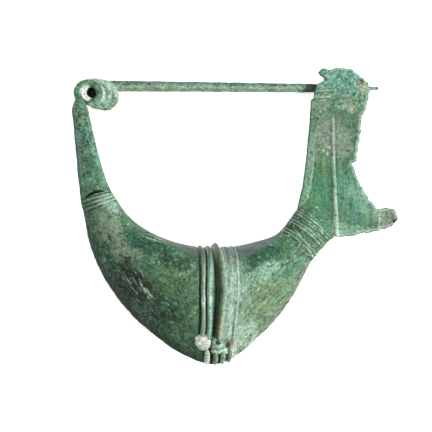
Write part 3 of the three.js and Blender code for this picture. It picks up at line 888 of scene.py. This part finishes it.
def wire_path():
    """Points along the wire's middle, its radius and the turn of the spring at each."""
    turns = np.linspace(-SPRING_ENTRY, SPRING_TURNS, 400)
    coil = spring_at(turns)
    point = PIN_AT_PLATE + (PIN_TIP - PIN_AT_PLATE) * PIN_POINT_SHARE
    knots = np.vstack([coil, PIN_ROOT, PIN_AT_PLATE, point, PIN_TIP])
    radii = np.concatenate([
        np.full(len(coil), WIRE_RADIUS),
        [PIN_ROOT_RADIUS, PIN_PLATE_RADIUS, PIN_POINT_RADIUS, PIN_TIP_RADIUS],
    ])
    reach = path_lengths(knots)
    steps = np.arange(0, reach[-1], WIRE_STEP)
    path = np.stack([np.interp(steps, reach, knots[:, axis]) for axis in range(3)], axis=1)
    return path, np.interp(steps, reach, radii), np.interp(steps, reach[:len(coil)], turns)


def wire_spokes(path):
    """Directions outwards, all round the wire at each point of its path."""
    onward = np.gradient(path, axis=0)
    for _ in range(3):
        onward[1:-1] = (onward[:-2] + onward[1:-1] * 2 + onward[2:]) / 4
    onward /= np.linalg.norm(onward, axis=1, keepdims=True)
    level = np.cross([0, 0, 1], onward)
    level /= np.linalg.norm(level, axis=1, keepdims=True)
    upright = np.cross(onward, level)
    angle = np.linspace(0, 2 * math.pi, WIRE_SIDES, endpoint=False)[None, :, None]
    return level[:, None] * np.cos(angle) + upright[:, None] * np.sin(angle)


def wire_patina(spot, out, turns):
    x = spot[:, 0]
    on_pin = smooth(SPRING_TURNS - 0.02, SPRING_TURNS, turns)
    on_coil = 1 - on_pin
    tint = blend(GREEN, WIRE_GREEN, on_coil * smooth(0.2, 0.9, turns) * 0.65 + on_pin * 0.5)
    tint = speckled(spot, tint, 0.1 + 0.15 * on_coil, 0.2 * on_pin, 109, 0.6)
    powder = smooth(-0.4, 0.5, clouds(spot, 1.5, 3, 111))
    tint = blend(tint, PALE, smooth(0.7, 1.2, turns) * on_coil * powder * 0.6)
    # The pin's top is darkened as painted shade, its underside is pinkish brown nearer the spring, and a
    # pale band along it is a painted highlight.
    upper = out @ (0.0, 0.95, 0.3)
    tint = blend(tint, DEEP, on_pin * smooth(0.45, 0.95, upper) * 0.5)
    near_spring = smooth(8, -20, x) * on_pin
    tint = blend(tint, ROSE, on_pin * smooth(0.2, 0.85, -upper) * (0.3 + 0.4 * near_spring))
    tint = blend(tint, PALE, on_pin * bump_profile((out[:, 1] + 0.25) / 0.5) * 0.25)

    # Painted shadow of the plate where the pin goes behind it, dark at the tip, and a painted highlight on
    # the inner wall of the coil's left side.
    behind = smooth(-0.5, 0.9, x - PIN_HIDDEN[0] - 0.7 * out[:, 1])
    behind *= smooth(PIN_HIDDEN[1], PIN_HIDDEN[1] - 1, x)
    tint = blend(tint, BLACK, on_pin * behind * 0.85)
    tint = blend(tint, DARK, smooth(53.0, 54.2, x) * 0.7)
    from_centre = spot - SPRING_CENTRE - turns[:, None] * SPRING_SHIFT
    facing_in = smooth(-0.1, 0.6, -(out * from_centre).sum(axis=1) / SPRING_RADIUS)
    on_left = smooth(1.2, -0.6, from_centre[:, 0])
    return blend(tint, CHALK, smooth(-0.12, 0.0, turns) * on_coil * facing_in * on_left * 0.8)


def make_wire():
    path, radius, turns = wire_path()
    spokes = wire_spokes(path)
    spot = (path[:, None] + spokes * radius[:, None, None]).reshape(-1, 3)
    out = spokes.reshape(-1, 3)
    relief = 0.09 * clouds(spot, 2.2, 3, 101) + 0.05 * clouds(spot, 0.8, 3, 103)
    relief -= 0.10 * pits(spot, 1.5, 107, 0.15, 0.4)
    relief *= np.clip(radius.repeat(WIRE_SIDES) / WIRE_RADIUS, 0.4, 1)
    tint = wire_patina(spot, out, turns.repeat(WIRE_SIDES))
    faces = closed_faces(len(path), WIRE_SIDES)
    make_piece("spring_and_pin", spot + out * relief[:, None], faces, tint, 0.1)


make_wire()


# A funnel inside the spring round its eye, painted with light and shade: pale rings as a painted highlight
# on its lit inner wall, black rings as painted shade deep inside. Middle, radius and colour of each ring
# of it. It ends in front of the second turn of wire.
EYE = [
    ((-37.0, -1.9, -3.4), 4.0, MINT),
    ((-37.9, -2.0, -2.0), 3.1, PALE),
    ((-39.5, -2.4, -0.3), 2.45, CHALK),
    ((-39.0, -2.2, -1.0), 2.1, CHALK),
    ((-38.3, -1.9, -1.6), 1.65, PALE),
    ((-38.1, -1.9, -2.1), 1.55, BLACK),
    ((-38.0, -1.8, -2.8), 1.5, BLACK),
    ((-37.9, -1.8, -3.4), 1.35, BLACK),
    ((-37.9, -1.8, -3.45), 0.02, BLACK),
]
EYE_SIDES = 56
EYE_RINGS = 50
EYE_SHADED_WITHIN = 2.9
EYE_HOLE = 1.66


def make_eye():
    shares = np.linspace(0, 1, EYE_RINGS)
    table = np.array([[*middle, radius, *shade] for middle, radius, shade in EYE])
    rows = np.stack([np.interp(shares, np.linspace(0, 1, len(EYE)), column) for column in table.T], axis=1)
    reach = rows[:, 3].repeat(EYE_SIDES)
    angle = np.linspace(0, 2 * math.pi, EYE_SIDES, endpoint=False)
    round_ = np.stack([np.cos(angle), np.sin(angle), np.zeros(EYE_SIDES)], axis=1)
    out = np.tile(round_, (EYE_RINGS, 1))
    spot = rows[:, :3].repeat(EYE_SIDES, axis=0) + out * reach[:, None]
    tint = rows[:, 4:].repeat(EYE_SIDES, axis=0)
    # Painted shade on the right side of the funnel's inner wall.
    tint = blend(tint, DARK, smooth(-0.3, 0.4, out[:, 0]) * 0.92 * (reach < EYE_SHADED_WITHIN))
    tint = speckled(spot, tint, -0.1, 0.0, 119, 0.5)
    # Painted shade: the hole in the middle is black.
    tint = blend(tint, BLACK * 0.1, smooth(EYE_HOLE + 0.14, EYE_HOLE, reach))
    lumps = 0.14 * clouds(spot, 0.9, 3, 121) * smooth(1.55, 1.9, reach)
    faces = [grid_faces(EYE_RINGS, EYE_SIDES), cap((EYE_RINGS - 1) * EYE_SIDES, EYE_SIDES)]
    make_piece("spring_eye_light_and_shade", spot + out * lumps[:, None], faces, tint, 0.0)


make_eye()


# ---- Catch plate ----

def plate_outline():
    """The plate's outline, ragged where it is torn or broken."""
    corners = np.array(PLATE_LEFT_EDGE + PLATE_TORN_TOP + PLATE_RIGHT_BREAK + PLATE_TAIL)
    loop = np.vstack([corners, corners[:1]])
    torn = np.ones(len(loop))
    torn[:len(PLATE_LEFT_EDGE)] = LEFT_EDGE_RAG
    torn[-1] = LEFT_EDGE_RAG
    reach = path_lengths(loop)
    steps = np.linspace(0, reach[-1], int(reach[-1] / OUTLINE_STEP), endpoint=False)
    line = np.stack([np.interp(steps, reach, loop[:, axis]) for axis in range(2)], axis=1)
    rag = np.interp(steps, reach, torn)
    onward = np.roll(line, -1, axis=0) - np.roll(line, 1, axis=0)
    onward /= np.linalg.norm(onward, axis=1, keepdims=True)
    aside = np.stack([onward[:, 1], -onward[:, 0]], axis=1)
    flat = np.column_stack([line, np.zeros(len(line))])
    shake = 0.32 * clouds(flat, 1.5, 4, 131) + 0.1 * clouds(flat, 0.5, 2, 133)
    return line + aside * (shake * rag)[:, None]


def inside_loop(points, loop):
    """Whether each point is inside a closed loop."""
    inside = np.zeros(len(points), bool)
    before = np.roll(loop, 1, axis=0)
    for (x0, y0), (x1, y1) in zip(before, loop):
        if y0 == y1:
            continue
        spans = (points[:, 1] < y0) != (points[:, 1] < y1)
        cross = x0 + (points[:, 1] - y0) * (x1 - x0) / (y1 - y0)
        inside ^= spans & (points[:, 0] < cross)
    return inside


def distance_to(points, loop):
    """Distance from each point to the nearest point of a loop, a block at a time."""
    block = 4000
    return np.concatenate([
        np.linalg.norm(points[start:start + block, None] - loop[None], axis=2).min(axis=1)
        for start in range(0, len(points), block)
    ])


outline = plate_outline()


def crest_of(x):
    """How high the plate's torn top reaches at x."""
    grid = np.arange(31.5, 51.6, 0.25)
    top = np.array([
        max([y for px, y in outline if abs(px - at) < 0.3 and y > -3], default=-3) for at in grid
    ])
    return np.interp(x, grid, top)


def along_ridge(y, column):
    return np.interp(y, RIDGE[:, 1], RIDGE[:, column])


def ridge_at(x, y):
    off = np.abs(x - along_ridge(y, 0)) / (along_ridge(y, 2) + 0.2)
    return along_ridge(y, 3) * smooth(-6.8, -9.2, y) * np.clip(1 - off, 0, 1) ** 0.8


PLATE_STAINS = [
    ((35.3, -33.5), 10.5, 3.4, 88, EMERALD, 1.0, -0.3, -0.3),
    ((36.0, -26.0), 4.0, 2.5, 88, MOSS, 0.6, -0.1, -0.1),
    ((43.5, -33.0), 11.0, 4.5, 100, TURQUOISE, 0.5, 0.0, 0.0),
    ((38.5, -15.5), 7.5, 8.5, 90, MAUVE, 0.65, 0.0, 0.05),
    ((34.3, -7.0), 5.0, 3.0, 90, LICHEN, 0.5, 0.0, 0.0),
    ((41.5, 2.5), 9.0, 5.5, 0, TURQUOISE, 0.85, 0.05, 0.05),
    ((40.3, -2.9), 5.0, 2.0, -5, EMERALD, 0.75, -0.1, -0.1),
    ((44.0, -5.3), 3.5, 2.0, -45, TAN, 0.6, 0.1, 0.0),
    ((48.8, 1.0), 2.2, 2.4, 0, TAN, 0.85, 0.15, 0.0),
    ((56.0, -41.5), 4.5, 4.0, 10, MAUVE, 0.6, 0.1, 0.0),
    ((47.5, -36.5), 6.5, 2.2, -50, MINT, 0.5, 0.1, 0.0),
    ((45.0, -45.6), 8.0, 2.0, -5, MINT, 0.5, 0.2, 0.0),
]
PLATE_STROKES = [(25, 201), (-40, 203), (75, 207)]
# Where two creases cross the left end of the folded top.
FOLD_LINES = (-0.5, -2.7)


def plate_mesh():
    """Points and triangles over the plate's outline: the outline's own points come first."""
    least, most = outline.min(axis=0), outline.max(axis=0)
    rows = np.arange(least[1], most[1], PLATE_SPACING * 0.87)
    columns = np.arange(least[0], most[0], PLATE_SPACING)
    grid = np.stack(np.meshgrid(columns, rows), axis=-1)
    grid[::2, :, 0] += PLATE_SPACING / 2
    grid = grid.reshape(-1, 2)
    grid = grid[inside_loop(grid, outline)]
    grid = grid[distance_to(grid, outline) > PLATE_SPACING * 0.6]
    edge = [(n, (n + 1) % len(outline)) for n in range(len(outline))]
    flat = [Vector(point) for point in np.vstack([outline, grid])]
    corners, _, faces, _, _, _ = delaunay_2d_cdt(flat, edge, [], 1, 1e-6)
    return np.array(corners), np.array(faces)


def plate_fields(flat):
    """What the plate's relief and colours are worked out from, at points of its plane."""
    x, y = flat.T
    spot = np.column_stack([flat, np.zeros(len(flat))])
    plate = SimpleNamespace(x=x, y=y, spot=spot, gap=distance_to(flat, outline), ridge=ridge_at(x, y))
    edge_x, edge_y = np.array(PLATE_LEFT_EDGE).T
    plate.from_edge = x - np.interp(y, edge_y, edge_x)
    plate.border = smooth(2.7, 2.1, plate.from_edge) * smooth(-12, -18, y)
    plate.lumps = clouds(spot, 2.6, 4, 143)
    plate.holes = pits(spot, 1.7, 151, 0.12, 0.4) * (scatter(np.floor(spot / 2.9), 153) > 0.4)
    plate.streaks = strokes(spot, 90, 6.0, 0.5, 157)
    return plate


def plate_sides(plate):
    """Front and back points: the front swells over the folded top and dips each side of the ridge."""
    x, y, spot = plate.x, plate.y, plate.spot
    rim = np.clip(1 - plate.gap / 0.45, 0, 1)
    rounding = 0.3 * (1 - np.sqrt(np.clip(1 - rim**2, 0, 1)))
    dip = smooth(0, 3, plate.gap) * smooth(-8, -20, y) * 0.3
    top = smooth(-3.0, -1.9, y + 0.25 * clouds(spot, 2.0, 3, 141))
    over = np.clip(crest_of(x) - y, 0, CURL)
    curl = CURL - np.sqrt(np.clip(CURL**2 - (CURL - over) ** 2, 0, None))
    curl *= 0.4 * smooth(36.4, 37.4, x) * smooth(50.8, 49.5, x)
    relief = plate.ridge + 0.22 * plate.border - dip + top * (0.25 + 0.16 * plate.lumps)
    relief += 0.05 * plate.lumps + 0.03 * clouds(spot, 0.7, 3, 149) + 0.03 * plate.streaks
    relief -= 0.14 * plate.holes + rounding + curl
    back_relief = 0.06 * clouds(spot, 3.1, 4, 161) - rounding - 0.1 * pits(spot, 2.1, 163)
    front = np.column_stack([x, y, SHEET / 2 + relief])
    return front, np.column_stack([x, y, -SHEET / 2 - back_relief - curl])


def plate_patina(plate):
    x, y, spot, gap = plate.x, plate.y, plate.spot, plate.gap
    plain, pale, dark = stained(spot, GREEN, PLATE_STAINS, 167)
    tint = speckled(spot, plain, pale + 0.05, dark + 0.02, 173, 0.5)
    panel = smooth(-20, -25, y)
    tint = plain + (tint - plain) * (0.62 - 0.24 * panel)[:, None]
    tint = tint * (1 + 0.3 * plate.streaks * panel)[:, None]
    for direction, seed in PLATE_STROKES:
        hair = smooth(0.35, 0.85, strokes(spot, direction, 1.5, 0.3, seed))
        tint = blend(tint, PALE, hair * smooth(-9, -5, y) * 0.4)
        gouges = smooth(0.4, 0.9, strokes(spot, direction, 1.5, 0.3, seed + 40))
        tint = blend(tint, DEEP, gouges * smooth(-9, -5, y) * 0.5)

    # The ridge, with painted shadow in lines beside it, and the raised left edge.
    from_ridge = np.abs(x - along_ridge(y, 0))
    tint = blend(tint, PALE, smooth(0.05, 0.25, plate.ridge) * (0.4 + 0.25 * plate.lumps))
    tint = blend(tint, DARK, bump_profile((from_ridge - 0.95) / 0.45) * smooth(-9, -12, y) * 0.35)
    tint = blend(tint, PALE, smooth(2.0, 0.3, from_ridge) * smooth(-42.5, -46.0, y) * 0.5)
    tint = blend(tint, MINT, plate.border * smooth(2.6, 2.2, plate.from_edge) * 0.35)
    line = bump_profile((plate.from_edge - 2.5) / 0.35) * smooth(-18, -24, y)
    tint = blend(tint, PALE, line * 0.4)
    # Each crease is painted: a pale line as painted highlight and a dark line just below it as painted
    # shade.
    for at in FOLD_LINES:
        off = y - at - 0.2 * plate.lumps
        tint = blend(tint, PALE, bump_profile(off / 0.4) * smooth(39.5, 37, x) * 0.5)
        tint = blend(tint, DARK, bump_profile((off + 0.45) / 0.35) * smooth(39.5, 37, x) * 0.5)

    # Yellow flecks, the ragged top corner, a painted highlight along the right edges and painted shade
    # round the rim, the pits, and the tail with a painted shadow at its end.
    flecks = smooth(0.05, 0.4, pits(spot * (1.0, 0.62, 1.0), 0.85, 189, 0.34, 0.5))
    flecks *= smooth(1.15, 0.8, oval(x, y, (36.6, -19.9), (1.5, 1.9)))
    tint = blend(tint, LEMON, flecks * 0.7)
    ragged = oval(x, y, (48.4, 3.4), (1.6, 0.9)) + 0.6 * clouds(spot, 0.9, 3, 179)
    tint = blend(tint, BLACK, smooth(1.1, 0.6, ragged) * 0.85)
    tint = blend(tint, PALE, bump_profile((gap - 0.55) / 0.5) * smooth(38, 40, x) * 0.45)
    tint = blend(tint, DARK, smooth(0.32, 0.1, gap) * 0.55)
    tint = blend(tint, DARK, plate.holes * 0.7)
    tail_line = bump_profile((x - 53.2 - 0.1 * (y + 42)) / 0.45) * smooth(-36, -38, y)
    tint = blend(tint, PALE, tail_line * 0.55)
    return blend(tint, BLACK, smooth(1.15, 0.75, oval(x, y, (58.6, -42.6), (1.3, 0.9))) * 0.95)


def make_plate():
    flat, faces = plate_mesh()
    plate = plate_fields(flat)
    front, back = plate_sides(plate)
    back_tint = speckled(back, GREEN + (MINT - GREEN) * 0.25, 0.1, 0.1, 181)
    count = len(flat)
    edges = np.concatenate([faces[:, [0, 1]], faces[:, [1, 2]], faces[:, [2, 0]]])
    _, first, times = np.unique(np.sort(edges, axis=1), axis=0, return_index=True, return_counts=True)
    a, b = edges[first[times == 1]].T
    rim = np.stack([b, a, a + count, b + count], axis=1)
    make_piece(
        "catch_plate",
        np.vstack([front, back]),
        [faces, faces[:, ::-1] + count, rim],
        np.vstack([plate_patina(plate), back_tint]),
        np.repeat([0.15, 0.05], count),
    )


make_plate()


def make_fold():
    """The top of the sheet, folded over behind the pin."""
    columns = np.arange(37.0, 50.2, 0.25)
    middle = (SHEET + FOLD_GAP) / 2
    inner_radius = FOLD_GAP / 2
    arc = np.linspace(0, math.pi, 26)
    steps_down = 22
    rings = []
    for x, top in zip(columns, crest_of(columns) - 0.25):
        foot = FOLD_BACK_FOOT + 0.35 * float(noise(np.array([[x, 5.0, 3.0]]), 1.7, 191)[0])
        arc_foot = max(top - FOLD_OUTER, foot + 0.6)
        down = np.linspace(arc_foot, foot, steps_down)
        z_out = -middle + FOLD_OUTER * np.cos(arc) - 0.12 * (np.cos(arc) > 0)
        profile = np.concatenate([
            np.column_stack([arc_foot + FOLD_OUTER * np.sin(arc), z_out]),
            np.column_stack([down, np.full(steps_down, -middle - FOLD_OUTER)]),
            np.column_stack([down[::-1], np.full(steps_down, -middle - inner_radius)]),
            np.column_stack([
                arc_foot + inner_radius * np.sin(arc), -middle + inner_radius * np.cos(arc),
            ])[::-1],
        ])
        rings.append(np.column_stack([np.full(len(profile), x), profile]))
    grid = np.array(rings)
    spot = grid.reshape(-1, 3)
    lumps = 0.1 * clouds(spot, 2.4, 4, 193)
    skin = spot + grid_normals(grid).reshape(-1, 3) * lumps[:, None]
    tint = speckled(spot, (GREEN + TURQUOISE) / 2, 0.15, 0.1, 197)
    make_piece("catch_fold", skin, closed_faces(*grid.shape[:2]), tint, 0.1)


make_fold()


# ---- Broken ornament on the crown ----

# Middle, half sizes, colour, how rough each lump is, and how much painted shade darkens its sides.
STUMP = [
    ((-4.5, -81.2, 4.8), (2.5, 3.0, 1.9), CHALK, 0.1, 0),
    ((-5.9, -80.4, 5.0), (1.3, 1.6, 1.3), CHALK, 0.2, 0),
    ((-3.4, -79.9, 5.4), (1.5, 1.3, 1.3), CHALK, 0.2, 0),
    ((0.0, -81.8, 4.9), (2.5, 2.3, 1.9), MINT, 0.12, 0.5),
    ((-1.6, -80.2, 5.3), (1.3, 0.8, 0.9), LICHEN, 0.2, 0.5),
    ((1.0, -84.0, 3.2), (3.2, 1.3, 1.9), PALE, 0.15, 0.5),
    ((4.4, -82.3, 3.4), (1.4, 4.0, 2.3), SAND, 0.12, 0.5),
    ((5.4, -82.6, 3.0), (0.6, 3.6, 2.0), PALE, 0.1, 0.5),
    ((-3.1, -85.6, 1.9), (1.1, 2.5, 2.8), PALE, 0.12, 0.9),
    ((-0.5, -85.9, 1.9), (1.05, 2.4, 2.9), LICHEN, 0.12, 0.9),
    ((1.8, -85.6, 1.9), (1.1, 2.4, 2.8), MINT, 0.12, 0.9),
    ((3.8, -85.3, 1.5), (0.9, 2.2, 2.6), LICHEN, 0.1, 0.9),
]
BOSS = 3
LUMP_ROWS = 40
LUMP_COLUMNS = 56


def lump_patina(place, ball, shade, painted_side_shade):
    tint = speckled(place, shade, 0.0, 0.1, 223, 0.5)
    if shade is SAND:
        tint = blend(tint, PALE, smooth(-82.5, -84.5, place[:, 1]) * 0.7)
        tint = blend(tint, DARK, smooth(0.1, 0.8, clouds(place, 1.1, 3, 231)) * 0.5)
    if shade is CHALK:
        tint = blend(CHALK * 0.92, MAUVE, smooth(0.1, 0.9, clouds(place, 0.9, 4, 227)) * 0.7)
        tint = blend(tint, LICHEN, smooth(-82.0, -84.0, place[:, 1]) * 0.7)
        # Painted shade under the chalk lumps.
        tint = blend(tint, DEEP, smooth(-0.1, -0.7, ball[:, 2]) * 0.6)
    # Painted shade on the sides of each lump, between the lumps.
    return blend(tint, BLACK, smooth(0.55, 0.9, np.abs(ball[:, 0])) * painted_side_shade)


def make_stump():
    polar = np.linspace(0.02, math.pi - 0.02, LUMP_ROWS)[:, None]
    round_ = np.linspace(0, 2 * math.pi, LUMP_COLUMNS, endpoint=False)[None, :]
    ball = np.stack(np.broadcast_arrays(
        np.sin(polar) * np.sin(round_), np.sin(polar) * np.cos(round_), np.cos(polar),
    ), axis=-1).reshape(-1, 3)
    points, faces, tints = [], [], []
    for number, (middle, sizes, shade, rough, painted_side_shade) in enumerate(STUMP):
        plain = ball * sizes
        spot = plain + middle
        swell = 1 + rough * clouds(spot, 1.3, 4, 211 + number) + 0.3 * rough * clouds(spot, 0.5, 2, 241)
        from_pit = np.linalg.norm(plain[:, :2] - (-0.1, 0.0), axis=1)
        on_boss = (ball[:, 2] > 0) * (number == BOSS)
        swell -= 0.5 * bump_profile(from_pit / 0.75) * on_boss
        place = plain * swell[:, None] + middle
        tint = lump_patina(place, ball, shade, painted_side_shade)
        ring = bump_profile((from_pit - 1.15) / 0.5) * smooth(-0.5, 0.5, clouds(place, 1.0, 3, 229))
        tint = blend(tint, PALE, ring * on_boss * 0.7)
        # Painted shade in the boss's pit.
        tints.append(blend(tint, BLACK, smooth(0.95, 0.55, from_pit) * on_boss * 0.95))
        points.append(place)
        faces += closed_faces(LUMP_ROWS, LUMP_COLUMNS, number * len(ball))
    make_piece("crown_stump", np.vstack(points), faces, np.vstack(tints), 0.05)


make_stump()


# ---- Floor, light and camera ----

def make_floor():
    mesh = bpy.data.meshes.new("floor")
    reach = 4.0
    mesh.from_pydata(
        [(-reach, -reach, 0), (reach, -reach, 0), (reach, reach, 0), (-reach, reach, 0)],
        [], [(0, 1, 2, 3)],
    )
    floor = bpy.data.objects.new("floor", mesh)
    bpy.context.collection.objects.link(floor)
    material = bpy.data.materials.new("floor")
    material.use_nodes = True
    shader = material.node_tree.nodes["Principled BSDF"]
    shader.inputs["Base Color"].default_value = (0.93, 0.93, 0.935, 1)
    shader.inputs["Roughness"].default_value = 0.9
    shader.inputs["Emission Color"].default_value = (1, 1, 1, 1)
    shader.inputs["Emission Strength"].default_value = 0.62
    mesh.materials.append(material)
    floor.location.z = -0.05 * MM  # Just under the worn flats.


def make_lamp(name, at, size, power, aim=(0, 0, 0.015)):
    light = bpy.data.lights.new(name, "AREA")
    light.size = size
    light.energy = power
    lamp = bpy.data.objects.new(name, light)
    lamp.location = at
    lamp.rotation_euler = (Vector(aim) - Vector(at)).to_track_quat("-Z", "Y").to_euler()
    bpy.context.collection.objects.link(lamp)


def make_camera():
    toward = Vector((-0.10, -0.02, 1.0)).normalized()
    distance = 0.600
    aim = Vector((-0.00563, -0.0007, 0.0))
    data = bpy.data.cameras.new("camera")
    data.sensor_width = 36
    data.lens = 155
    camera = bpy.data.objects.new("camera", data)
    camera.location = toward * distance
    back = (camera.location - aim).normalized()
    right = Vector((0, 1, 0)).cross(back).normalized()
    camera.rotation_euler = Matrix((right, back.cross(right), back)).transposed().to_euler()
    bpy.context.collection.objects.link(camera)
    bpy.context.scene.camera = camera


make_floor()
make_lamp("key", (0.55, -0.05, 0.45), 0.35, 5.6)
make_lamp("fill", (-0.3, 0.25, 0.7), 0.8, 3.4)
make_camera()

world = bpy.data.worlds.new("studio")
world.use_nodes = True
world.node_tree.nodes["Background"].inputs["Color"].default_value = (1, 1, 1, 1)
world.node_tree.nodes["Background"].inputs["Strength"].default_value = 0.25
bpy.context.scene.world = world
bpy.context.scene.view_settings.view_transform = "Standard"
